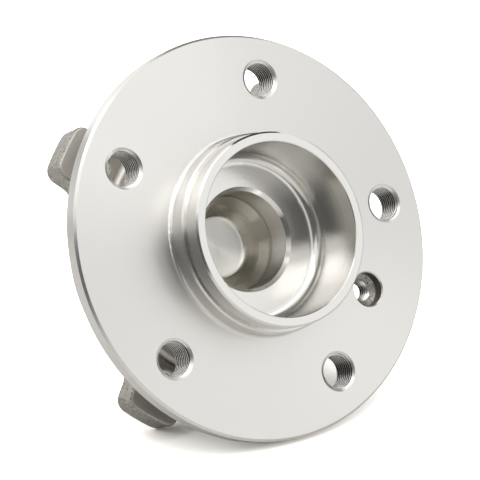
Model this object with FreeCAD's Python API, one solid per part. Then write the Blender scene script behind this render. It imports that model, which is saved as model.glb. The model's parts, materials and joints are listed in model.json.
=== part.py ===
import FreeCAD, Part
import math
import os

# Front wheel hub bearing of the non-driven kind, with two rows of balls. The hub carries the wheel and
# the brake disc and turns on the balls inside an outer ring, which four bolts hold to the knuckle.
# The hub turns about Y. Y = 0 is the face that the brake disc sits on, minus Y points out to the wheel,
# plus Y points in to the knuckle, and Z is up. All sizes are in millimetres and degrees.

os.makedirs("parts", exist_ok=True)

# Wheel flange
flange_radius = 76.4
flange_thickness = 11.5
rim_thickness = 7.0
rim_width = 7.2
rim_step_slope = 3.0
rim_chamfer = 0.9
seal_boss_cover = 4.0
seal_boss_height = 2.3
seal_boss_slope = 2.4
neck_rounding = 2.4

# Wheel bolt holes, M14 x 1.25, shown at the thread's outside diameter
wheel_bolt_count = 5
wheel_bolt_circle_radius = 60.0
wheel_bolt_hole_radius = 7.1
wheel_bolt_mouth_chamfer = 0.6
hub_rest_angle = 69.5

# Brake disc screw hole, M8, midway between two wheel bolt holes, with a deep counterbore and a cone seat
disc_screw_circle_radius = 51.75
disc_screw_hole_radius = 4.1
disc_screw_counterbore_radius = 6.5
disc_screw_counterbore_depth = 4.4
disc_screw_mouth_chamfer = 0.5

# Spigot that centres the brake disc and the wheel, and the cup inside it
spigot_height = 16.1
wheel_pilot_radius = 36.25
wheel_pilot_chamfer = 0.68
disc_pilot_step = 1.25
disc_pilot_height = 7.83
disc_pilot_chamfer = 0.6
disc_pilot_root_rounding = 1.4
spigot_wall = 3.75
cup_lip_chamfer = 0.25
cup_depth = 9.56
cup_floor_rounding = 4.2

# Blind forged recess in the floor of the cup
bore_radius = 18.75
bore_chamfer = 1.4
bore_end = 22.4
recess_step_radius = 15.8
recess_step_end = 25.8
recess_bottom_radius = 12.2
recess_bottom = 31.3
recess_rounding = 2.4
recess_edge_rounding = 1.2

# Balls and raceways. The load lines of the two rows cross outside the bearing, which makes it stiff in bends.
ball_radius = 6.35
ball_spacing = 1.6
first_ball_angle = 12.0
pitch_radius = 34.5
contact_angle = 40.0
row_inset = 10.9
row_spacing = 19.0
groove_opening = 0.25
race_clearance = 0.06
high_shoulder_gap = 3.3
low_shoulder = 0.354

# Outer ring
ring_to_boss = 2.8
inboard_row_inset = 11.7
ring_wall = 6.8
outer_body_chamfer = 1.2
ear_root_rounding = 3.2
turned_recess = 0.4
seal_seat_step = 1.9
seal_seat_depth = 4.3
inboard_seat_depth = 5.1
seal_seat_chamfer = 0.5
spigot_seat_wall = 2.5
spigot_lead_length = 1.8
spigot_lead_step = 0.8
spigot_groove_width = 1.8
spigot_groove_depth = 0.5
spigot_groove_face_cut = 0.3

# Ears with threaded holes, M12 x 1.5, for the four knuckle bolts
ear_face = 26.5
ear_thickness = 10.3
ear_count = 4
ear_first_angle = 45.0
ear_overhang = 13.2
ear_half_width = 11.3
ear_side_draft = 2.5
ear_corner_rounding = 4.8
ear_root_fillet = 7.0
ear_edge_rounding = 1.1
waist_rim = 8.3
knuckle_bolt_inset = 11.7
knuckle_bolt_hole_radius = 6.1
knuckle_bolt_mouth_chamfer = 0.6

# Threaded holes are countersunk at this opening angle
countersink_angle = 120.0

# Inner ring of the inboard row, and the hub spindle whose end is rolled over it
spindle_radius = 22.0
spindle_root_rounding = 1.0
ring_joint_offset = 0.5
inboard_land = 10.5
inner_ring_entry_chamfer = 1.5
inner_ring_roll_chamfer = 2.0
inner_ring_edge_chamfer = 0.4
rolled_lip_width = 6.4
rolled_lip_height = 5.0
rolled_lip_rounding = 3.2
spindle_dish_radius = 15.5
spindle_dish_bottom_radius = 12.5
spindle_dish_depth = 11.5
spindle_dish_edge_rounding = 1.6
spindle_dish_rounding = 2.4

# Ball cages, moulded, with the closed side between the rows and open pockets towards the seals
cage_half_thickness = 2.1
cage_back_wall = 1.75
cage_prong = 2.6
pocket_clearance = 0.2
cage_edge_rounding = 0.5

# Seals. A steel case is pressed into the outer ring and carries rubber lips.
case_wall = 0.8
case_disc_wall = 0.6
case_recess = 0.3
case_inner_bend = 0.5
case_outer_bend = 0.9
outboard_case_depth = 3.6
inboard_case_depth = 4.9
case_land_gap = 3.0
lip_clearance = 0.05
rubber_skin = 0.6
rubber_edge = 0.8
lip_thickness = 0.7
side_lip_inset = 3.1
side_lip_spacing = 3.4
side_lip_lean = 1.5

# Flinger on the inner ring, and the magnetised encoder ring bonded to it
flinger_wall = 0.7
flinger_recess = 0.1
flinger_sleeve_length = 3.6
encoder_thickness = 1.0
encoder_width = 7.4
encoder_gap = 1.5
encoder_wrap = 0.6
encoder_edge_rounding = 0.3

# How far a cut starts before its face and ends past it, and how near two places count as the same one
overshoot = 1.0
same_place = 0.01

# Radii that follow from the sizes above, from the balls outwards and inwards
groove_radius = ball_radius + groove_opening
groove_offset = groove_opening - race_clearance
groove_lean = math.radians(contact_angle)
ball_count = int(math.pi / math.asin((ball_radius + ball_spacing / 2) / pitch_radius))
outer_land_radius = pitch_radius + high_shoulder_gap
shoulder_radius = pitch_radius - high_shoulder_gap
outer_relief_radius = pitch_radius - groove_offset * math.cos(groove_lean) + groove_radius - low_shoulder
inner_relief_radius = pitch_radius + groove_offset * math.cos(groove_lean) - groove_radius + low_shoulder
seal_seat_radius = outer_relief_radius + seal_seat_step
outer_body_radius = seal_seat_radius + ring_wall
knuckle_spigot_radius = seal_seat_radius + spigot_seat_wall
seal_boss_radius = seal_seat_radius + seal_boss_cover
turned_radius = outer_body_radius + ear_root_rounding
waist_radius = turned_radius + waist_rim
knuckle_bolt_circle_radius = outer_body_radius + knuckle_bolt_inset
ear_tip_radius = knuckle_bolt_circle_radius + ear_overhang
case_inner_radius = shoulder_radius + case_land_gap
rubber_inner_radius = case_inner_radius - rubber_edge
outer_side_lip_radius = seal_seat_radius - side_lip_inset
inner_side_lip_radius = outer_side_lip_radius - side_lip_spacing
flinger_disc_radius = seal_seat_radius - encoder_gap - encoder_wrap
encoder_inner_radius = flinger_disc_radius - encoder_width
rolled_lip_radius = spindle_radius + rolled_lip_width
rim_step_radius = flange_radius - rim_width
cup_radius = wheel_pilot_radius - spigot_wall
disc_pilot_radius = wheel_pilot_radius + disc_pilot_step

# Places along the axis that follow from the sizes above
seal_boss_face = flange_thickness + seal_boss_height
outer_ring_start = seal_boss_face + ring_to_boss
outboard_row = outer_ring_start + row_inset
inboard_row = outboard_row + row_spacing
outer_ring_end = inboard_row + inboard_row_inset
inner_ring_start = outboard_row + row_spacing / 2 + ring_joint_offset
inner_ring_end = inboard_row + inboard_land
knuckle_face = ear_face + ear_thickness
rolled_lip_end = inner_ring_end + rolled_lip_height
flinger_face = inner_ring_end - flinger_recess
flinger_back = flinger_face - flinger_wall
cage_back = ball_radius + pocket_clearance + cage_back_wall
disc_screw_angle = hub_rest_angle - 1.5 * 360.0 / wheel_bolt_count

axis_point = FreeCAD.Vector(0, 0, 0)
axis_direction = FreeCAD.Vector(0, 1, 0)


def unit(vector):
    return vector / vector.Length


def arc_about(centre, start, end):
    """The shorter arc from start to end about centre, in the plane of the half section."""
    reach = (start - centre).Length
    middle = centre + unit((start - centre) + (end - centre)) * reach
    return Part.Arc(start, middle, end).toShape()


def rounded_corner(before, corner, after, rounding):
    """Where a tangent arc of radius rounding starts and ends at a corner, and the arc's centre."""
    back = unit(before - corner)
    ahead = unit(after - corner)
    half_turn = math.acos(max(-1.0, min(1.0, back.dot(ahead)))) / 2
    reach = rounding / math.tan(half_turn)
    centre = corner + unit(back + ahead) * (rounding / math.sin(half_turn))
    return corner + back * reach, corner + ahead * reach, centre


def half_section(steps):
    """A closed face in radius and y. A step is (radius, y) for a sharp corner, (radius, y, rounding) for a
    rounded one, or (radius, y, groove) where the groove's centre is a vector and an arc about it leads there."""
    corners = [FreeCAD.Vector(step[0], step[1], 0) for step in steps]
    extras = [step[2] if len(step) > 2 else None for step in steps]
    edges = []
    starts = []
    ends = []
    for index, corner in enumerate(corners):
        extra = extras[index]
        if isinstance(extra, (int, float)) and extra > 0:
            after = corners[(index + 1) % len(corners)]
            start, end, centre = rounded_corner(corners[index - 1], corner, after, extra)
            starts.append(start)
            ends.append(end)
            edges.append(arc_about(centre, start, end))
        else:
            starts.append(corner)
            ends.append(corner)
    for index, end in enumerate(ends):
        following = (index + 1) % len(corners)
        groove = extras[following]
        if isinstance(groove, FreeCAD.Vector):
            edges.append(arc_about(groove, end, starts[following]))
        else:
            edges.append(Part.LineSegment(end, starts[following]).toShape())
    return Part.Face(Part.Wire(Part.__sortEdges__(edges)))


def revolved(steps):
    return half_section(steps).revolve(axis_point, axis_direction, 360)


def around_axis(radius, angle, y=0.0):
    """A point at a radius and an angle from X towards Z."""
    turn = math.radians(angle)
    return FreeCAD.Vector(radius * math.cos(turn), y, radius * math.sin(turn))


def drill(place, radius, length):
    """A cylinder that runs along plus Y from its place."""
    return Part.makeCylinder(radius, length, place, axis_direction)


def cone(place, start_radius, end_radius, opening_angle=90.0):
    """A cone with this opening angle that runs along plus Y from its place."""
    length = abs(end_radius - start_radius) / math.tan(math.radians(opening_angle / 2))
    return Part.makeCone(start_radius, end_radius, length, place, axis_direction)


def equal_angles(count, first=0.0):
    return [first + index * 360.0 / count for index in range(count)]


def raceway(row, side, inner):
    """The centre of a groove. side is the axial way from the row to the middle of the bearing. A ball touches
    the outer groove on that side and the inner groove on the other, both on one line at the contact angle."""
    way = 1 if inner else -1
    radius = pitch_radius + way * groove_offset * math.cos(groove_lean)
    y = row + way * side * groove_offset * math.sin(groove_lean)
    return FreeCAD.Vector(radius, y, 0)


def groove_edge(centre, radius):
    """How far along the axis from the groove's centre its arc meets a cylinder of this radius."""
    return math.sqrt(groove_radius ** 2 - (radius - centre.x) ** 2)


def threaded_hole(place, radius, chamfer, length):
    """A hole at the thread's outside diameter, countersunk at both faces."""
    mouth = radius + chamfer
    hole = drill(place - axis_direction * overshoot, radius, length + 2 * overshoot)
    front = cone(place, mouth, radius, countersink_angle)
    rear = cone(place + axis_direction * (length - front.BoundBox.YLength), radius, mouth, countersink_angle)
    return hole.fuse([front, rear])


def disc_screw_hole():
    mouth = around_axis(disc_screw_circle_radius, disc_screw_angle)
    start = mouth - axis_direction * overshoot
    mouth_radius = disc_screw_counterbore_radius + disc_screw_mouth_chamfer
    hole = drill(start, disc_screw_hole_radius, flange_thickness + 2 * overshoot)
    lead = cone(mouth, mouth_radius, disc_screw_counterbore_radius)
    counterbore = drill(start, disc_screw_counterbore_radius, disc_screw_counterbore_depth + overshoot)
    seat_place = mouth + axis_direction * disc_screw_counterbore_depth
    seat = cone(seat_place, disc_screw_counterbore_radius, disc_screw_hole_radius)
    return hole.fuse([lead, counterbore, seat])


def hub():
    groove = raceway(outboard_row, 1, inner=True)
    high_edge = groove.y - groove_edge(groove, shoulder_radius)
    low_edge = groove.y + groove_edge(groove, inner_relief_radius)
    pilot_root = -disc_pilot_height
    body = revolved([
        (0, recess_bottom),
        (recess_bottom_radius, recess_bottom, recess_rounding),
        (recess_step_radius, recess_step_end, recess_edge_rounding),
        (bore_radius, bore_end, recess_edge_rounding),
        (bore_radius, cup_depth + bore_chamfer),
        (bore_radius + bore_chamfer, cup_depth),
        (cup_radius, cup_depth, cup_floor_rounding),
        (cup_radius, -spigot_height + cup_lip_chamfer),
        (cup_radius + cup_lip_chamfer, -spigot_height),
        (wheel_pilot_radius - wheel_pilot_chamfer, -spigot_height),
        (wheel_pilot_radius, -spigot_height + wheel_pilot_chamfer),
        (wheel_pilot_radius, pilot_root),
        (disc_pilot_radius - disc_pilot_chamfer, pilot_root),
        (disc_pilot_radius, pilot_root + disc_pilot_chamfer),
        (disc_pilot_radius, 0, disc_pilot_root_rounding),
        (flange_radius - rim_chamfer, 0),
        (flange_radius, rim_chamfer),
        (flange_radius, rim_thickness - rim_chamfer),
        (flange_radius - rim_chamfer, rim_thickness),
        (rim_step_radius + rim_step_slope, rim_thickness),
        (rim_step_radius, flange_thickness),
        (seal_boss_radius + seal_boss_slope, flange_thickness),
        (seal_boss_radius, seal_boss_face),
        (shoulder_radius, seal_boss_face, neck_rounding),
        (shoulder_radius, high_edge),
        (inner_relief_radius, low_edge, groove),
        (inner_relief_radius, inner_ring_start - inner_ring_edge_chamfer),
        (inner_relief_radius - inner_ring_edge_chamfer, inner_ring_start),
        (spindle_radius, inner_ring_start, spindle_root_rounding),
        (spindle_radius, inner_ring_end - inner_ring_roll_chamfer),
        (spindle_radius + inner_ring_roll_chamfer, inner_ring_end),
        (rolled_lip_radius, inner_ring_end),
        (rolled_lip_radius, rolled_lip_end, rolled_lip_rounding),
        (spindle_dish_radius, rolled_lip_end, spindle_dish_edge_rounding),
        (spindle_dish_bottom_radius, rolled_lip_end - spindle_dish_depth, spindle_dish_rounding),
        (0, rolled_lip_end - spindle_dish_depth),
    ])
    holes = [disc_screw_hole()]
    for angle in equal_angles(wheel_bolt_count, hub_rest_angle):
        place = around_axis(wheel_bolt_circle_radius, angle)
        holes.append(threaded_hole(place, wheel_bolt_hole_radius, wheel_bolt_mouth_chamfer, flange_thickness))
    return body.cut(holes)


def inner_ring():
    groove = raceway(inboard_row, -1, inner=True)
    high_edge = groove.y + groove_edge(groove, shoulder_radius)
    low_edge = groove.y - groove_edge(groove, inner_relief_radius)
    edge = inner_ring_edge_chamfer
    return revolved([
        (spindle_radius, inner_ring_start + inner_ring_entry_chamfer),
        (spindle_radius, inner_ring_end - inner_ring_roll_chamfer),
        (spindle_radius + inner_ring_roll_chamfer, inner_ring_end),
        (shoulder_radius - edge, inner_ring_end),
        (shoulder_radius, inner_ring_end - edge),
        (shoulder_radius, high_edge),
        (inner_relief_radius, low_edge, groove),
        (inner_relief_radius, inner_ring_start + edge),
        (inner_relief_radius - edge, inner_ring_start),
        (spindle_radius + inner_ring_entry_chamfer, inner_ring_start),
    ])


def ear(angle):
    """One ear as a drafted block that reaches the tip circle, with its tip corners rounded."""
    narrowing = (ear_tip_radius - knuckle_bolt_circle_radius) * math.tan(math.radians(ear_side_draft))
    tip_half_width = ear_half_width - narrowing
    tip_corner = math.sqrt(ear_tip_radius ** 2 - tip_half_width ** 2)
    points = [
        FreeCAD.Vector(outer_body_radius, ear_face, -ear_half_width),
        FreeCAD.Vector(knuckle_bolt_circle_radius, ear_face, -ear_half_width),
        FreeCAD.Vector(tip_corner, ear_face, -tip_half_width),
        FreeCAD.Vector(tip_corner, ear_face, tip_half_width),
        FreeCAD.Vector(knuckle_bolt_circle_radius, ear_face, ear_half_width),
        FreeCAD.Vector(outer_body_radius, ear_face, ear_half_width),
    ]
    sides = [Part.LineSegment(start, end).toShape() for start, end in zip(points[:2], points[1:3])]
    tip = Part.Arc(points[2], FreeCAD.Vector(ear_tip_radius, ear_face, 0), points[3]).toShape()
    sides += [tip]
    sides += [Part.LineSegment(start, end).toShape() for start, end in zip(points[3:], points[4:])]
    sides += [Part.LineSegment(points[5], points[0]).toShape()]
    block = Part.Face(Part.Wire(sides)).extrude(axis_direction * ear_thickness)
    corners = [edge for edge in upright_edges(block) if stands_at(edge, ear_tip_radius)]
    block = block.makeFillet(ear_corner_rounding, corners)
    block.rotate(axis_point, axis_direction, -angle)
    return block


def upright_edges(shape):
    """The straight edges that run along the axis."""
    found = []
    for edge in shape.Edges:
        if isinstance(edge.Curve, Part.Line) and len(edge.Vertexes) == 2:
            along = unit(edge.Vertexes[1].Point - edge.Vertexes[0].Point)
            if abs(along.y) > 1 - same_place:
                found.append(edge)
    return found


def stands_at(edge, radius):
    point = edge.Vertexes[0].Point
    return abs(math.hypot(point.x, point.z) - radius) < same_place


def lies_on(edge, y):
    return edge.BoundBox.YLength < same_place and abs(edge.BoundBox.YMin - y) < same_place


def ear_plate():
    """The forged plate that joins the four ears, with fillets where the ears leave the waist."""
    waist = drill(FreeCAD.Vector(0, ear_face, 0), waist_radius, ear_thickness)
    ears = [ear(angle) for angle in equal_angles(ear_count, ear_first_angle)]
    plate = waist.fuse(ears).removeSplitter()
    roots = [edge for edge in upright_edges(plate) if stands_at(edge, waist_radius)]
    plate = plate.makeFillet(ear_root_fillet, roots)
    return plate.makeFillet(ear_edge_rounding, [edge for edge in plate.Edges if lies_on(edge, ear_face)])


def outer_ring():
    near = raceway(outboard_row, 1, inner=False)
    far = raceway(inboard_row, -1, inner=False)
    relief_edge = groove_edge(near, outer_relief_radius)
    land_edge = groove_edge(near, outer_land_radius)
    groove_floor = knuckle_spigot_radius - spigot_groove_depth
    turned_face = ear_face + turned_recess
    root_centre = FreeCAD.Vector(turned_radius, turned_face - ear_root_rounding, 0)
    ring = revolved([
        (seal_seat_radius + seal_seat_chamfer, outer_ring_start),
        (seal_seat_radius, outer_ring_start + seal_seat_chamfer),
        (seal_seat_radius, outer_ring_start + seal_seat_depth),
        (outer_relief_radius, outer_ring_start + seal_seat_depth),
        (outer_relief_radius, near.y - relief_edge),
        (outer_land_radius, near.y + land_edge, near),
        (outer_land_radius, far.y - land_edge),
        (outer_relief_radius, far.y + relief_edge, far),
        (outer_relief_radius, outer_ring_end - inboard_seat_depth),
        (seal_seat_radius, outer_ring_end - inboard_seat_depth),
        (seal_seat_radius, outer_ring_end - seal_seat_chamfer),
        (seal_seat_radius + seal_seat_chamfer, outer_ring_end),
        (knuckle_spigot_radius - spigot_lead_step, outer_ring_end),
        (knuckle_spigot_radius, outer_ring_end - spigot_lead_length),
        (knuckle_spigot_radius, knuckle_face + spigot_groove_width),
        (groove_floor, knuckle_face + spigot_groove_width - spigot_groove_depth),
        (groove_floor, knuckle_face - spigot_groove_face_cut),
        (knuckle_spigot_radius, knuckle_face - spigot_groove_face_cut),
        (knuckle_spigot_radius + spigot_groove_face_cut, knuckle_face),
        (turned_radius, knuckle_face),
        (turned_radius, turned_face),
        (outer_body_radius, turned_face - ear_root_rounding, root_centre),
        (outer_body_radius, outer_ring_start + outer_body_chamfer),
        (outer_body_radius - outer_body_chamfer, outer_ring_start),
    ])
    opening = drill(FreeCAD.Vector(0, ear_face - overshoot, 0), turned_radius, ear_thickness + 2 * overshoot)
    plate = ear_plate().cut(opening)
    holes = []
    for angle in equal_angles(ear_count, ear_first_angle):
        place = around_axis(knuckle_bolt_circle_radius, angle, ear_face)
        holes.append(threaded_hole(place, knuckle_bolt_hole_radius, knuckle_bolt_mouth_chamfer, ear_thickness))
    return ring.fuse(plate).removeSplitter().cut(holes)


def ball_place(row, index):
    return around_axis(pitch_radius, first_ball_angle + index * 360.0 / ball_count, row)


def ball(row, index):
    return Part.makeSphere(ball_radius, ball_place(row, index))


def pocket(row, side, index):
    """The round pocket of one ball, with its poles clear of the cage and its seam on the open side."""
    place = ball_place(row, index)
    outward = unit(place - axis_direction * row)
    turn = FreeCAD.Rotation(axis_direction * -side, FreeCAD.Vector(), outward, "ZXY")
    hollow = Part.makeSphere(ball_radius + pocket_clearance)
    hollow.Placement = FreeCAD.Placement(place, turn)
    return hollow


def cage(row, side):
    """A crown cage. side is the way from the row to the middle of the bearing, where the cage is closed."""
    inner = pitch_radius - cage_half_thickness
    outer = pitch_radius + cage_half_thickness
    back = row + side * cage_back
    tip = row - side * cage_prong
    crown = revolved([
        (inner, tip, cage_edge_rounding),
        (outer, tip, cage_edge_rounding),
        (outer, back, cage_edge_rounding),
        (inner, back, cage_edge_rounding),
    ])
    return crown.cut([pocket(row, side, index) for index in range(ball_count)])


def seal_case(mouth, inward, depth):
    """A pressed steel case. mouth is the ring's end face and inward the axial way into the bearing."""
    outer = seal_seat_radius
    start = mouth + inward * case_recess
    end = mouth + inward * depth
    return revolved([
        (outer, start),
        (outer, end, case_outer_bend),
        (case_inner_radius, end),
        (case_inner_radius, end - inward * case_disc_wall),
        (outer - case_wall, end - inward * case_disc_wall, case_inner_bend),
        (outer - case_wall, start),
    ])


def seal_rubber(disc, inward, land_radius, face):
    """Rubber bonded to the outer side of a case's disc. One lip runs on the land and two run on the face."""
    outer = seal_seat_radius - case_wall - case_inner_bend
    skin = disc - inward * rubber_skin
    land = land_radius + lip_clearance
    reach = face + inward * lip_clearance
    thick = lip_thickness
    lean = side_lip_lean
    side_out = outer_side_lip_radius
    side_in = inner_side_lip_radius
    return revolved([
        (case_inner_radius, disc),
        (outer, disc),
        (outer, skin),
        (side_out + thick, skin),
        (side_out + thick + lean, reach),
        (side_out + thick / 2 + lean, reach),
        (side_out, skin),
        (side_in + thick, skin),
        (side_in + thick + lean, reach),
        (side_in + thick / 2 + lean, reach),
        (side_in, skin),
        (rubber_inner_radius, skin),
        (land, skin - inward * thick),
        (land, skin),
        (rubber_inner_radius, disc + inward * case_disc_wall),
        (case_inner_radius, disc + inward * case_disc_wall),
    ])


def flinger():
    land = shoulder_radius
    return revolved([
        (land, flinger_face - flinger_sleeve_length),
        (land, flinger_face),
        (flinger_disc_radius, flinger_face),
        (flinger_disc_radius, flinger_back),
        (land + flinger_wall, flinger_back),
        (land + flinger_wall, flinger_face - flinger_sleeve_length),
    ])


def encoder_ring():
    outer = flinger_disc_radius + encoder_wrap
    return revolved([
        (encoder_inner_radius, flinger_face),
        (flinger_disc_radius, flinger_face),
        (flinger_disc_radius, flinger_back),
        (outer, flinger_back),
        (outer, flinger_face + encoder_thickness, encoder_edge_rounding),
        (encoder_inner_radius, flinger_face + encoder_thickness, encoder_edge_rounding),
    ])


def save(name, shape):
    solids = shape.Solids
    if len(solids) != 1 or not shape.isValid():
        raise ValueError(name + " is not one valid solid")
    solids[0].exportStep("parts/" + name + ".step")
    print(name, round(solids[0].Volume, 1))


outboard_disc = outer_ring_start + outboard_case_depth - case_disc_wall
inboard_disc = outer_ring_end - inboard_case_depth + case_disc_wall

save("hub", hub())
save("inner_ring", inner_ring())
save("outer_ring", outer_ring())
save("outboard_cage", cage(outboard_row, 1))
save("inboard_cage", cage(inboard_row, -1))
save("outboard_seal_case", seal_case(outer_ring_start, 1, outboard_case_depth))
save("outboard_seal_lips", seal_rubber(outboard_disc, 1, shoulder_radius, seal_boss_face))
save("inboard_seal_case", seal_case(outer_ring_end, -1, inboard_case_depth))
save("inboard_seal_lips", seal_rubber(inboard_disc, -1, shoulder_radius + flinger_wall, flinger_back))
save("flinger", flinger())
save("encoder_ring", encoder_ring())
for number in range(ball_count):
    save("outboard_ball_%02d" % (number + 1), ball(outboard_row, number))
    save("inboard_ball_%02d" % (number + 1), ball(inboard_row, number))
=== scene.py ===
import bpy
import json
import math
import numpy
from mathutils import Matrix, Quaternion, Vector


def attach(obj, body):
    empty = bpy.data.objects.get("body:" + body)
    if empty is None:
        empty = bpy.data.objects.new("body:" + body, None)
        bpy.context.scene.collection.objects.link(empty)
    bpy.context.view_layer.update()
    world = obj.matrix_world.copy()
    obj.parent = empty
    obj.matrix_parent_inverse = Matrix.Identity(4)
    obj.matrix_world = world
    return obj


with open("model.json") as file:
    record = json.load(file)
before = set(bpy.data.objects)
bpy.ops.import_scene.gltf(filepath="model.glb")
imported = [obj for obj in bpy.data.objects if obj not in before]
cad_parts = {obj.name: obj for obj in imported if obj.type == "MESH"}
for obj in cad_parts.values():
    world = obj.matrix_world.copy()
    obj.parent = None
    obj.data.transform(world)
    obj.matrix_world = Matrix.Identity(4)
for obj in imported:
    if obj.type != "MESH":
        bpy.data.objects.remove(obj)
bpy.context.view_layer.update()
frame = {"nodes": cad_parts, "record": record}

# A wheel hub bearing of the non-driven kind, lying on its flange's edge and one ear as in the photograph.
# Lengths in the dictionaries are millimetres and angles are degrees. The hub turns about Y, and minus Y is
# the wheel side. What comes from the frame is in metres.
mm = 0.001
nodes = frame["nodes"]
mounts = {mount["name"]: mount for mount in frame["record"]["mounts"]}
openings = {space["name"]: space for space in frame["record"]["physics"]["openings"]}
wheelBolts = mounts["wheel_bolts"]["dims"]
knuckleBolts = mounts["knuckle_bolts"]["dims"]
knuckleFace = mounts["knuckle_bolts"]["pos_m"][1] / mm


def selectOnly(item):
    if bpy.context.object and bpy.context.object.mode == "EDIT":
        bpy.ops.object.mode_set(mode="OBJECT")
    bpy.ops.object.select_all(action="DESELECT")
    if item:
        item.select_set(True)
        bpy.context.view_layer.objects.active = item


def toLinear(hexColour):
    channels = [int(hexColour[start:start + 2], 16) / 255 for start in (1, 3, 5)]
    linear = [c / 12.92 if c <= 0.04045 else ((c + 0.055) / 1.055) ** 2.4 for c in channels]
    return (*linear, 1.0)


def addNode(tree, kind, settings, inputs):
    # an input is a number, a colour, another node (its first output) or one of its sockets. A Mix node takes
    # its share in 0, and then numbers in 2 and 3 or colours in 6 and 7, which come out of output 2
    node = tree.nodes.new(kind)
    for name, value in settings.items():
        setattr(node, name, value)
    for name, value in inputs.items():
        if isinstance(value, bpy.types.Node):
            value = value.outputs[0]
        if isinstance(value, bpy.types.NodeSocket):
            tree.links.new(value, node.inputs[name])
        else:
            node.inputs[name].default_value = value
    return node


def newMaterial(name):
    material = bpy.data.materials.new(name)
    material.use_nodes = True
    tree = material.node_tree
    tree.nodes.clear()
    return material, tree


def latheCoordinates(tree):
    # the place, its distance from the hub's axis, its place along the axis, and the way round the axis
    place = addNode(tree, "ShaderNodeTexCoord", {}, {}).outputs["Object"]
    along = addNode(tree, "ShaderNodeSeparateXYZ", {}, {0: place}).outputs["Y"]
    flat = addNode(tree, "ShaderNodeVectorMath", {"operation": "MULTIPLY"}, {0: place, 1: (1, 0, 1)})
    radius = addNode(tree, "ShaderNodeVectorMath", {"operation": "LENGTH"}, {0: flat}).outputs["Value"]
    around = addNode(tree, "ShaderNodeVectorMath", {"operation": "CROSS_PRODUCT"}, {0: place, 1: (0, 1, 0)})
    tangent = addNode(tree, "ShaderNodeVectorTransform",
                      {"vector_type": "VECTOR", "convert_from": "OBJECT", "convert_to": "WORLD"}, {0: around})
    return place, radius, along, tangent


def holeCentre(name):
    low, high = openings[name]["box_m"]
    return Vector(((low[0] + high[0]) / 2, 0.0, (low[2] + high[2]) / 2))


# Materials
turnedSteel = {
    # medium-carbon bearing steel, finish-turned: a bright satin with fine rings
    # the floor's colour is a painted pool of light on the recess's floor
    # the recess's colour is the forged recess's own duller tone, darkened further as painted shade deep in
    # the bore
    "name": "turned_steel", "colour": "#e0deda", "recessToneAndShadeColour": "#c2beb5", "recessFloorLitColour": "#efede7",
    # the counterbore's colour is painted shade on its wall
    "seatColour": "#f3f1ed", "seatPitColour": "#8d8980", "counterboreShadeColour": "#8a8478",
    "faceRoughness": 0.32, "pilotRoughness": 0.18, "discPilotRoughness": 0.30, "cupRoughness": 0.20,
    "boreRoughness": 0.24, "recessRoughness": 0.22, "floorRoughness": 0.40, "seatRoughness": 0.62,
    "anisotropy": 0.75, "smearTurn": 0.25,  # a quarter turn, so that reflections smear across the rings
    "feed": 0.45, "feedDepth": 0.006,       # drawn coarser, as the real feed of 0.15 is too fine to show
    "streakSpread": 0.03,                   # roughness from ring to ring
    "waves": 3.0, "waveDepth": 0.02, "grit": 0.5, "gritDepth": 0.08, "pitRange": (0.35, 0.5),
    "pilotRadius": 38.9, "discPilotRadius": 36.9, "cupRadius": 33.0, "boreRadius": 18.9, "recessStart": 21.0,
    "recessFloor": 31.3, "floorBand": 0.3, "seatRadius": 6.45, "counterbore": 6.5, "counterboreBand": 0.04,
}


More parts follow.
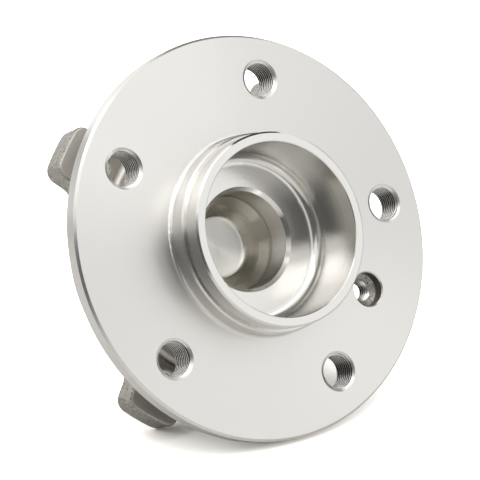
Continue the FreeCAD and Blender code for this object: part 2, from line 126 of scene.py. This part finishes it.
def makeTurnedSteel(look):
    material, tree = newMaterial(look["name"])
    place, radius, along, tangent = latheCoordinates(tree)
    travel = addNode(tree, "ShaderNodeMath", {"operation": "ADD"}, {0: radius, 1: along})
    feed = addNode(tree, "ShaderNodeTexNoise", {"noise_dimensions": "1D"},
                   {"W": travel, "Scale": 1 / (look["feed"] * mm), "Detail": 2.0, "Roughness": 0.6})
    waves = addNode(tree, "ShaderNodeTexNoise", {"noise_dimensions": "1D"},
                    {"W": travel, "Scale": 1 / (look["waves"] * mm), "Detail": 1.0})
    grit = addNode(tree, "ShaderNodeTexNoise", {},
                   {"Vector": place, "Scale": 1 / (look["grit"] * mm), "Detail": 2.0})
    # where the face, the pilots, the cup, the forged recess and the disc screw's rough seat are
    onFace = addNode(tree, "ShaderNodeMath", {"operation": "GREATER_THAN"},
                     {0: radius, 1: look["pilotRadius"] * mm})
    inCup = addNode(tree, "ShaderNodeMath", {"operation": "LESS_THAN"},
                    {0: radius, 1: look["cupRadius"] * mm})
    inBore = addNode(tree, "ShaderNodeMath", {"operation": "LESS_THAN"},
                     {0: radius, 1: look["boreRadius"] * mm})
    isDeep = addNode(tree, "ShaderNodeMath", {"operation": "GREATER_THAN"},
                     {0: along, 1: look["recessStart"] * mm})
    inRecess = addNode(tree, "ShaderNodeMath", {"operation": "MULTIPLY"}, {0: inBore, 1: isDeep})
    onFloor = addNode(tree, "ShaderNodeMath", {"operation": "COMPARE"},
                      {0: along, 1: look["recessFloor"] * mm, 2: look["floorBand"] * mm})
    middle = (look["discPilotRadius"] + look["pilotRadius"]) / 2
    onDiscPilot = addNode(tree, "ShaderNodeMath", {"operation": "COMPARE"},
                          {0: radius, 1: middle * mm, 2: (look["pilotRadius"] - middle) * mm})
    screwPlace = addNode(tree, "ShaderNodeVectorMath", {"operation": "SUBTRACT"},
                         {0: place, 1: holeCentre("disc_screw_hole")})
    screwFlat = addNode(tree, "ShaderNodeVectorMath", {"operation": "MULTIPLY"},
                        {0: screwPlace, 1: (1, 0, 1)})
    screwReach = addNode(tree, "ShaderNodeVectorMath", {"operation": "LENGTH"}, {0: screwFlat})
    inSeat = addNode(tree, "ShaderNodeMath", {"operation": "LESS_THAN"},
                     {0: screwReach.outputs["Value"], 1: look["seatRadius"] * mm})
    rough = look["pilotRoughness"]
    for mask, roughness in ((onFace, "faceRoughness"), (onDiscPilot, "discPilotRoughness"),
                            (inCup, "cupRoughness"), (inBore, "boreRoughness"), (inRecess, "recessRoughness"),
                            (onFloor, "floorRoughness"), (inSeat, "seatRoughness")):
        rough = addNode(tree, "ShaderNodeMix", {"data_type": "FLOAT"},
                        {0: mask, 2: rough, 3: look[roughness]})
    streaks = addNode(tree, "ShaderNodeMapRange", {},
                      {"Value": feed, "To Min": -look["streakSpread"], "To Max": look["streakSpread"]})
    rough = addNode(tree, "ShaderNodeMath", {"operation": "ADD"}, {0: rough, 1: streaks})
    # painted shade: deep in the bore the steel takes the recess's darker colour, on top of its forged tone
    colour = addNode(tree, "ShaderNodeMix", {"data_type": "RGBA"},
                     {0: inRecess, 6: toLinear(look["colour"]), 7: toLinear(look["recessToneAndShadeColour"])})
    # painted light: the recess's floor is coloured brighter than the steel around it
    colour = addNode(tree, "ShaderNodeMix", {"data_type": "RGBA"},
                     {0: onFloor, 6: colour.outputs[2], 7: toLinear(look["recessFloorLitColour"])})
    lowPit, highPit = look["pitRange"]
    pits = addNode(tree, "ShaderNodeMapRange", {}, {"Value": grit, "From Min": lowPit, "From Max": highPit})
    seat = addNode(tree, "ShaderNodeMix", {"data_type": "RGBA"},
                   {0: pits, 6: toLinear(look["seatPitColour"]), 7: toLinear(look["seatColour"])})
    colour = addNode(tree, "ShaderNodeMix", {"data_type": "RGBA"},
                     {0: inSeat, 6: colour.outputs[2], 7: seat.outputs[2]})
    # painted shade: a dark band on the counterbore's wall
    onCounterbore = addNode(tree, "ShaderNodeMath", {"operation": "COMPARE"},
                            {0: screwReach.outputs["Value"], 1: look["counterbore"] * mm,
                             2: look["counterboreBand"] * mm})
    colour = addNode(tree, "ShaderNodeMix", {"data_type": "RGBA"},
                     {0: onCounterbore, 6: colour.outputs[2], 7: toLinear(look["counterboreShadeColour"])})
    gritDepth = addNode(tree, "ShaderNodeMath", {"operation": "MULTIPLY"},
                        {0: inSeat, 1: look["gritDepth"] * mm})
    fine = addNode(tree, "ShaderNodeBump", {},
                   {"Height": feed, "Strength": 1.0, "Distance": look["feedDepth"] * mm})
    coarse = addNode(tree, "ShaderNodeBump", {},
                     {"Height": waves, "Strength": 1.0, "Distance": look["waveDepth"] * mm, "Normal": fine})
    bump = addNode(tree, "ShaderNodeBump", {},
                   {"Height": grit, "Strength": 1.0, "Distance": gritDepth, "Normal": coarse})
    shader = addNode(tree, "ShaderNodeBsdfPrincipled", {}, {
        "Base Color": colour.outputs[2], "Metallic": 1.0, "Roughness": rough,
        "Anisotropic": look["anisotropy"], "Anisotropic Rotation": look["smearTurn"], "Tangent": tangent,
        "Normal": bump})
    addNode(tree, "ShaderNodeOutputMaterial", {}, {"Surface": shader})
    return material


forgedSteel = {
    # drop-forged steel after shot blasting, a dull grey skin with fine pits, and bright where it was turned
    "name": "forged_steel", "colour": "#c9c6be", "darkColour": "#8b877f", "turnedColour": "#cfccc6",
    "roughness": 0.55, "turnedRoughness": 0.26, "earRoughness": 0.42,
    "grit": 0.7, "gritDepth": 0.22, "scaleSize": 2.5, "scaleShare": 0.3, "speckleRange": (0.5, 0.8),
    "facingRadius": 52.4, "earFace": 26.62, "backBand": 0.1,
    "feed": 0.5, "feedDepth": 0.006,        # drawn coarser than the real feed, as on the turned steel
}


def makeForgedSteel(look):
    material, tree = newMaterial(look["name"])
    place, radius, along, tangent = latheCoordinates(tree)
    grit = addNode(tree, "ShaderNodeTexNoise", {},
                   {"Vector": place, "Scale": 1 / (look["grit"] * mm), "Detail": 3.0, "Roughness": 0.65})
    patches = addNode(tree, "ShaderNodeTexNoise", {},
                      {"Vector": place, "Scale": 1 / (look["scaleSize"] * mm), "Detail": 3.0})
    travel = addNode(tree, "ShaderNodeMath", {"operation": "ADD"}, {0: radius, 1: along})
    feed = addNode(tree, "ShaderNodeTexNoise", {"noise_dimensions": "1D"},
                   {"W": travel, "Scale": 1 / (look["feed"] * mm), "Detail": 2.0})
    # the ring's body and both faces of the ears are turned, and the rest keeps its forged skin
    isFacing = addNode(tree, "ShaderNodeMath", {"operation": "LESS_THAN"},
                       {0: radius, 1: look["facingRadius"] * mm})
    isFront = addNode(tree, "ShaderNodeMath", {"operation": "LESS_THAN"}, {0: along, 1: look["earFace"] * mm})
    isBack = addNode(tree, "ShaderNodeMath", {"operation": "GREATER_THAN"},
                     {0: along, 1: (knuckleFace - look["backBand"]) * mm})
    turned = addNode(tree, "ShaderNodeMath", {"operation": "MAXIMUM"}, {0: isFacing, 1: isBack})
    turned = addNode(tree, "ShaderNodeMath", {"operation": "MAXIMUM"}, {0: turned, 1: isFront})
    depth = addNode(tree, "ShaderNodeMix", {"data_type": "FLOAT"},
                    {0: turned, 2: look["gritDepth"] * mm, 3: 0.0})
    rings = addNode(tree, "ShaderNodeMath", {"operation": "MULTIPLY"}, {0: feed, 1: turned})
    skin = addNode(tree, "ShaderNodeBump", {}, {"Height": grit, "Strength": 1.0, "Distance": depth})
    bump = addNode(tree, "ShaderNodeBump", {},
                   {"Height": rings, "Strength": 1.0, "Distance": look["feedDepth"] * mm, "Normal": skin})
    mottle = addNode(tree, "ShaderNodeMath", {"operation": "MULTIPLY_ADD"},
                     {0: patches, 1: look["scaleShare"], 2: grit})
    dark, bright = look["speckleRange"]
    speckle = addNode(tree, "ShaderNodeMapRange", {}, {"Value": mottle, "From Min": dark, "From Max": bright})
    skinColour = addNode(tree, "ShaderNodeMix", {"data_type": "RGBA"},
                         {0: speckle, 6: toLinear(look["darkColour"]), 7: toLinear(look["colour"])})
    colour = addNode(tree, "ShaderNodeMix", {"data_type": "RGBA"},
                     {0: turned, 6: skinColour.outputs[2], 7: toLinear(look["turnedColour"])})
    rough = addNode(tree, "ShaderNodeMix", {"data_type": "FLOAT"},
                    {0: turned, 2: look["roughness"], 3: look["turnedRoughness"]})
    rough = addNode(tree, "ShaderNodeMix", {"data_type": "FLOAT"},
                    {0: isFront, 2: rough, 3: look["earRoughness"]})
    shader = addNode(tree, "ShaderNodeBsdfPrincipled", {}, {
        "Base Color": colour.outputs[2], "Metallic": 1.0, "Roughness": rough, "Normal": bump})
    addNode(tree, "ShaderNodeOutputMaterial", {}, {"Surface": shader})
    return material


tappedSteel = {
    # the flanks that a tap leaves: bright steel at the crest, and painted shade that darkens them towards the
    # root
    "name": "tapped_steel", "crestColour": "#f2f0ec", "rootShadeColour": "#211f1c", "roughness": 0.28,
    "shadeFullDepth": 0.27, "shadeJitter": 0.15, "grit": 0.5, "gritDepth": 0.02,
    "unshadedEnd": 0.5, "shadeFade": 0.6,        # the painted shade is left off near the thread's ends and grows in behind them
}


def makeTappedSteel(look):
    material, tree = newMaterial(look["name"])
    place = addNode(tree, "ShaderNodeTexCoord", {}, {}).outputs["Object"]
    depth = addNode(tree, "ShaderNodeAttribute", {"attribute_name": "threadDepth"}, {}).outputs["Fac"]
    grit = addNode(tree, "ShaderNodeTexNoise", {},
                   {"Vector": place, "Scale": 1 / (look["grit"] * mm), "Detail": 2.0})
    jitter = addNode(tree, "ShaderNodeMapRange", {},
                   {"Value": grit, "To Min": -look["shadeJitter"], "To Max": look["shadeJitter"]})
    # painted shade: the deeper a point lies in the thread, the darker its colour, jittered a little by noise
    threadShade = addNode(tree, "ShaderNodeMath", {"operation": "ADD", "use_clamp": True}, {0: depth, 1: jitter})
    threadShade = addNode(tree, "ShaderNodeMapRange", {}, {"Value": threadShade, "From Max": look["shadeFullDepth"]})
    colour = addNode(tree, "ShaderNodeMix", {"data_type": "RGBA"},
                     {0: threadShade, 6: toLinear(look["crestColour"]), 7: toLinear(look["rootShadeColour"])})
    bump = addNode(tree, "ShaderNodeBump", {},
                   {"Height": grit, "Strength": 1.0, "Distance": look["gritDepth"] * mm})
    shader = addNode(tree, "ShaderNodeBsdfPrincipled", {}, {
        "Base Color": colour.outputs[2], "Metallic": 1.0, "Roughness": look["roughness"], "Normal": bump})
    addNode(tree, "ShaderNodeOutputMaterial", {}, {"Surface": shader})
    return material


roughnessSpread = 0.15  # of a plain finish, as a share of its roughness
plainLooks = {
    # ground bearing steel, through-hardened
    "ground_steel": {"colour": "#c9c7c4", "metallic": 1.0, "roughness": 0.18, "grain": 0.4, "depth": 0.003},
    # lapped balls, almost a mirror
    "lapped_steel": {"colour": "#d6d5d3", "metallic": 1.0, "roughness": 0.06, "grain": 2.0, "depth": 0.001},
    # stainless strip, cold-rolled and pressed
    "pressed_stainless": {"colour": "#b9b8b5", "metallic": 1.0, "roughness": 0.28,
                          "grain": 0.6, "depth": 0.004},
    # moulded nitrile rubber, a little chalky
    "nitrile_rubber": {"colour": "#1d1c1b", "metallic": 0.0, "roughness": 0.62, "grain": 0.5, "depth": 0.02},
    # magnetised rubber, moulded smooth with ferrite powder in it
    "ferrite_rubber": {"colour": "#26221f", "metallic": 0.0, "roughness": 0.42, "grain": 0.3, "depth": 0.006},
    # glass-filled nylon 66, moulded
    "filled_nylon": {"colour": "#c9bf9c", "metallic": 0.0, "roughness": 0.5, "grain": 0.6, "depth": 0.01},
}


def makePlain(name, look):
    material, tree = newMaterial(name)
    place = addNode(tree, "ShaderNodeTexCoord", {}, {}).outputs["Object"]
    grain = addNode(tree, "ShaderNodeTexNoise", {},
                    {"Vector": place, "Scale": 1 / (look["grain"] * mm), "Detail": 3.0})
    bump = addNode(tree, "ShaderNodeBump", {},
                   {"Height": grain, "Strength": 1.0, "Distance": look["depth"] * mm})
    rough = addNode(tree, "ShaderNodeMapRange", {},
                    {"Value": grain, "To Min": look["roughness"] * (1 - roughnessSpread),
                     "To Max": look["roughness"] * (1 + roughnessSpread)})
    shader = addNode(tree, "ShaderNodeBsdfPrincipled", {}, {
        "Base Color": toLinear(look["colour"]), "Metallic": look["metallic"], "Roughness": rough,
        "Normal": bump})
    addNode(tree, "ShaderNodeOutputMaterial", {}, {"Surface": shader})
    return material


hubMaterial = makeTurnedSteel(turnedSteel)
ringMaterial = makeForgedSteel(forgedSteel)
threadMaterial = makeTappedSteel(tappedSteel)
plain = {name: makePlain(name, look) for name, look in plainLooks.items()}
finishOf = {
    "hub": hubMaterial, "outer_ring": ringMaterial, "inner_ring": plain["ground_steel"],
    "outboard_cage": plain["filled_nylon"], "inboard_cage": plain["filled_nylon"],
    "outboard_seal_case": plain["pressed_stainless"], "inboard_seal_case": plain["pressed_stainless"],
    "outboard_seal_lips": plain["nitrile_rubber"], "inboard_seal_lips": plain["nitrile_rubber"],
    "flinger": plain["pressed_stainless"], "encoder_ring": plain["ferrite_rubber"],
}
for name, node in nodes.items():
    node.data.materials.clear()
    node.data.materials.append(finishOf.get(name, plain["lapped_steel"]))
print("materials made:", len(bpy.data.materials))


# Threads. The solids are bored to each thread's outside diameter, and these are the ridges that a tap
# leaves there.
flankLean = 30          # of a metric thread, between its flank and the plane across its axis
countersink = 60        # between a mouth's cone and the axis
screwSeat = 45          # the same for the disc screw's seat
crestShare = 0.25       # of the pitch, flat at the crest
earThickness = 10.3
threadSteps = 72
extraTurns = 2          # what the ridge runs past its ends before they are cut
toolReach = 3.0         # of a cutting cone, beyond the hole
smoothAngle = 25

# turnStep turns each hole's thread on from the last one's, so that no two start alike
boltThread = {"pitch": 1.25, "foot": 7.13, "crest": 6.35, "start": 0.0, "end": 11.5,
              "mouth": 7.7, "mouthLean": countersink, "exit": 7.7, "turnStep": 75,
              "body": "hub_body", "slot": "hub_steel"}
screwThread = {"pitch": 1.25, "foot": 4.12, "crest": 3.35, "start": 6.8, "end": 11.5,
               "mouth": 4.1, "mouthLean": screwSeat, "exit": 4.1, "turnStep": 0,
               "body": "hub_body", "slot": "hub_steel"}
knuckleThread = {"pitch": 1.5, "foot": 6.13, "crest": 5.2,
                 "start": knuckleFace - earThickness, "end": knuckleFace,
                 "mouth": 6.7, "mouthLean": countersink, "exit": 6.7, "turnStep": 40,
                 "body": "outer_ring_body", "slot": "forged_steel"}


def cutEnd(thread, cutter):
    selectOnly(thread)
    cut = thread.modifiers.new("mouth", "BOOLEAN")
    cut.operation = "DIFFERENCE"
    cut.solver = "EXACT"
    cut.object = cutter
    bpy.ops.object.modifier_apply(modifier=cut.name)
    bpy.data.objects.remove(cutter, do_unlink=True)


def countersinkTool(place, mouth, lean, way):
    # a cone with its open end well outside the hole and its tip inside it
    length = mouth / math.tan(math.radians(lean))
    wide = mouth + toolReach * math.tan(math.radians(lean))
    depth = length + toolReach
    selectOnly(None)
    bpy.ops.mesh.primitive_cone_add(vertices=threadSteps, radius1=wide * mm, radius2=0, depth=depth * mm)
    tool = bpy.context.object
    tool.rotation_euler = (math.radians(-90 * way), 0, 0)
    tool.location = (0, (place + way * (length - toolReach) / 2) * mm, 0)
    bpy.ops.object.transform_apply(location=True, rotation=True, scale=True)
    return tool


def makeThread(name, size):
    # one flat ridge section, swept by a Screw modifier, with both ends cut by the countersink
    height = size["foot"] - size["crest"]
    crestWidth = size["pitch"] * crestShare
    footWidth = crestWidth + 2 * height * math.tan(math.radians(flankLean))
    selectOnly(None)
    bpy.ops.mesh.primitive_plane_add(size=1)
    thread = bpy.context.object
    thread.name = thread.data.name = name
    for vertex in thread.data.vertices:
        # the plane's inner edge is the crest and its outer edge the foot
        inner = vertex.co.x < 0
        width = crestWidth if inner else footWidth
        radius = size["crest"] if inner else size["foot"]
        vertex.co = Vector((radius, math.copysign(width / 2, vertex.co.y), 0)) * mm
    turns = math.ceil((size["end"] - size["start"]) / size["pitch"]) + extraTurns
    screw = thread.modifiers.new("turns", "SCREW")
    screw.axis = "Y"
    screw.screw_offset = size["pitch"] * mm
    screw.iterations = turns
    screw.steps = screw.render_steps = threadSteps
    screw.use_smooth_shade = False
    bpy.ops.object.modifier_apply(modifier=screw.name)
    bpy.ops.object.mode_set(mode="EDIT")
    bpy.ops.mesh.select_all(action="SELECT")
    bpy.ops.mesh.normals_make_consistent(inside=False)
    bpy.ops.transform.translate(value=(0, (size["start"] - size["pitch"]) * mm, 0))
    bpy.ops.object.mode_set(mode="OBJECT")
    cutEnd(thread, countersinkTool(size["start"], size["mouth"], size["mouthLean"], 1))
    cutEnd(thread, countersinkTool(size["end"], size["exit"], countersink, -1))
    # how deep each point lies between crest and root, which the tapped steel's painted shade follows, left
    # off near the ends
    depth = thread.data.attributes.new("threadDepth", "FLOAT", "POINT")
    for vertex in thread.data.vertices:
        reach = math.hypot(vertex.co.x, vertex.co.z) / mm
        fromEnd = min(vertex.co.y / mm - size["start"], size["end"] - vertex.co.y / mm)
        shadedShare = min(max((fromEnd - tappedSteel["unshadedEnd"]) / tappedSteel["shadeFade"], 0), 1)
        depth.data[vertex.index].value = shadedShare * min(max((reach - size["crest"]) / height, 0), 1)
    selectOnly(thread)
    bpy.ops.object.shade_smooth_by_angle(angle=math.radians(smoothAngle))
    thread.data.materials.append(threadMaterial)
    return thread


def copyThread(thread, name, centre, turn, size):
    twin = thread.copy()
    twin.data = thread.data.copy()
    twin.name = twin.data.name = name
    bpy.context.scene.collection.objects.link(twin)
    twin.data.transform(Matrix.Translation(centre) @ Matrix.Rotation(math.radians(turn), 4, "Y"))
    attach(twin, size["body"])


def makeThreads(pattern, size, count):
    master = makeThread(pattern, size)
    for number in range(1, count + 1):
        suffix = "_%d" % number if count > 1 else ""
        centre = holeCentre(pattern + "_hole" + suffix)
        copyThread(master, pattern + "_thread" + suffix, centre, size["turnStep"] * number, size)
    bpy.data.objects.remove(master, do_unlink=True)


makeThreads("wheel_bolt", boltThread, wheelBolts["count"])
makeThreads("disc_screw", screwThread, 1)
makeThreads("knuckle_bolt", knuckleThread, knuckleBolts["count"])
print("threads made")


# Studio
floor = {
    # a white sweep that the exposure burns out, so only the shade close to the part shows on it
    "size": (1500, 1500), "colour": "#e4e3e0", "exposure": 2.8, "roll": 3.8,
    "leanRange": (10, 50), "leanTries": 24,     # its slope under the part is looked for between these
}
camera = {
    # fitted to the photograph's holes, flange and spigot
    "place": (-366.91, -559.01, 7.86), "aim": (-8.86, 0.0, 0.55), "roll": -17.1,
    "lens": 134.86, "sensor": 36, "nearest": 10,
}


def makeCamera(view):
    data = bpy.data.cameras.new("camera")
    seen = bpy.data.objects.new("camera", data)
    bpy.context.scene.collection.objects.link(seen)
    data.lens = view["lens"]
    data.sensor_width = view["sensor"]
    data.clip_start = view["nearest"] * mm
    seen.location = Vector(view["place"]) * mm
    look = (Vector(view["aim"]) - Vector(view["place"])).to_track_quat("-Z", "Y")
    seen.rotation_mode = "QUATERNION"
    seen.rotation_quaternion = look @ Quaternion((0, 0, 1), math.radians(view["roll"]))
    bpy.context.scene.camera = seen
    return seen


def cornersOf(name):
    flat = numpy.empty(len(nodes[name].data.vertices) * 3, numpy.float32)
    nodes[name].data.vertices.foreach_get("co", flat)
    return flat.reshape(-1, 3)


def upright(lean):
    # away from the floor, for a part that has rolled over onto one ear
    roll = math.radians(floor["roll"])
    return Vector((math.sin(roll) * math.cos(lean), -math.sin(lean), math.cos(roll) * math.cos(lean)))


def restingLean():
    # the floor's slope under a part that stands on its flange's edge and leans on the outer ring
    hubPoints, ringPoints = cornersOf("hub"), cornersOf("outer_ring")
    low, high = (math.radians(limit) for limit in floor["leanRange"])
    for halving in range(floor["leanTries"]):
        lean = (low + high) / 2
        up = numpy.array(upright(lean))
        if (ringPoints @ up).min() > (hubPoints @ up).min():
            low = lean
        else:
            high = lean
    return lean, float((hubPoints @ up).min())


seenCamera = makeCamera(camera)
lean, floorLevel = restingLean()
print("floor leans by", round(math.degrees(lean), 2))
upward = upright(lean)
toCamera = seenCamera.location.normalized()
forward = (toCamera - upward * toCamera.dot(upward)).normalized()
rightward = upward.cross(forward)


def studioPoint(azimuth, elevation, distance):
    # azimuth 0 is the camera's side and grows to the right of the picture, elevation is above the floor
    turn, rise = math.radians(azimuth), math.radians(elevation)
    level = forward * math.cos(turn) + rightward * math.sin(turn)
    return (level * math.cos(rise) + upward * math.sin(rise)) * distance * mm


def placeInStudio(item, spot):
    item.location = studioPoint(spot["azimuth"], spot["elevation"], spot["distance"])
    item.rotation_mode = "QUATERNION"
    item.rotation_quaternion = (-item.location).to_track_quat("-Z", "Y")


# softboxes that face the part
lamps = {
    "overhead": {"azimuth": 60, "elevation": 88, "distance": 900, "size": (1150, 1150), "radiance": 1.25},
    "right": {"azimuth": 66, "elevation": 27, "distance": 1100, "size": (1400, 1240), "radiance": 0.98},
    "front": {"azimuth": 0, "elevation": 50, "distance": 1000, "size": (1000, 420), "radiance": 1.0},
    "left": {"azimuth": -94, "elevation": 37, "distance": 1100, "size": (1900, 1100), "radiance": 1.3},
    "rear": {"azimuth": 180, "elevation": 28, "distance": 1200, "size": (2200, 1100), "radiance": 1.0},
}
for name, lamp in lamps.items():
    data = bpy.data.lights.new(name, "AREA")
    data.shape = "RECTANGLE"
    data.size, data.size_y = (side * mm for side in lamp["size"])
    # the power that gives a flat lamp of this size its radiance
    data.energy = lamp["radiance"] * math.pi * data.size * data.size_y
    item = bpy.data.objects.new(name, data)
    bpy.context.scene.collection.objects.link(item)
    placeInStudio(item, lamp)


def makeSheet(name, size):
    selectOnly(None)
    bpy.ops.mesh.primitive_plane_add(size=1)
    sheet = bpy.context.object
    sheet.name = name
    sheet.scale = (size[0] * mm, size[1] * mm, 1)
    return sheet


rearCard = {
    # black card behind the part, which shows in the steel's reflections alone
    "name": "rear_card", "colour": "#0b0b0b", "size": (420, 440),
    "azimuth": 166, "elevation": 52, "distance": 700,
}


def makeCard(card):
    sheet = makeSheet(card["name"], card["size"])
    material, tree = newMaterial(card["name"])
    paper = addNode(tree, "ShaderNodeBsdfDiffuse", {}, {"Color": toLinear(card["colour"])})
    addNode(tree, "ShaderNodeOutputMaterial", {}, {"Surface": paper})
    sheet.data.materials.append(material)
    placeInStudio(sheet, card)
    sheet.visible_camera = False
    sheet.visible_shadow = False


def makeFloor(look):
    sheet = makeSheet("floor", look["size"])
    material, tree = newMaterial("white_sweep")
    ray = addNode(tree, "ShaderNodeLightPath", {}, {})
    side = addNode(tree, "ShaderNodeNewGeometry", {}, {})
    gain = addNode(tree, "ShaderNodeMapRange", {},
                   {"Value": ray.outputs["Is Camera Ray"], "To Min": 1.0, "To Max": look["exposure"]})
    paper = addNode(tree, "ShaderNodeVectorMath", {"operation": "SCALE"},
                    {0: toLinear(look["colour"])[:3], "Scale": gain})
    front = addNode(tree, "ShaderNodeBsdfDiffuse", {}, {"Color": paper})
    back = addNode(tree, "ShaderNodeBsdfTransparent", {}, {})
    either = addNode(tree, "ShaderNodeMixShader", {}, {0: side.outputs["Backfacing"], 1: front, 2: back})
    addNode(tree, "ShaderNodeOutputMaterial", {}, {"Surface": either})
    sheet.data.materials.append(material)
    sheet.location = upward * floorLevel
    sheet.rotation_mode = "QUATERNION"
    sheet.rotation_quaternion = upward.to_track_quat("Z", "Y")


makeCard(rearCard)
makeFloor(floor)

# the camera sees a white room, which lights the part only faintly
world = {"seen": "#ffffff", "light": 0.15}
scene = bpy.context.scene
scene.world = bpy.data.worlds.new("studio")
scene.world.use_nodes = True
sky = scene.world.node_tree
sky.nodes.clear()
ray = addNode(sky, "ShaderNodeLightPath", {}, {})
lightSide = addNode(sky, "ShaderNodeBackground", {}, {"Strength": world["light"]})
seenSide = addNode(sky, "ShaderNodeBackground", {}, {"Color": toLinear(world["seen"])})
either = addNode(sky, "ShaderNodeMixShader", {}, {0: ray.outputs["Is Camera Ray"], 1: lightSide, 2: seenSide})
addNode(sky, "ShaderNodeOutputWorld", {}, {"Surface": either})
scene.view_settings.view_transform = "Standard"
print("studio made")
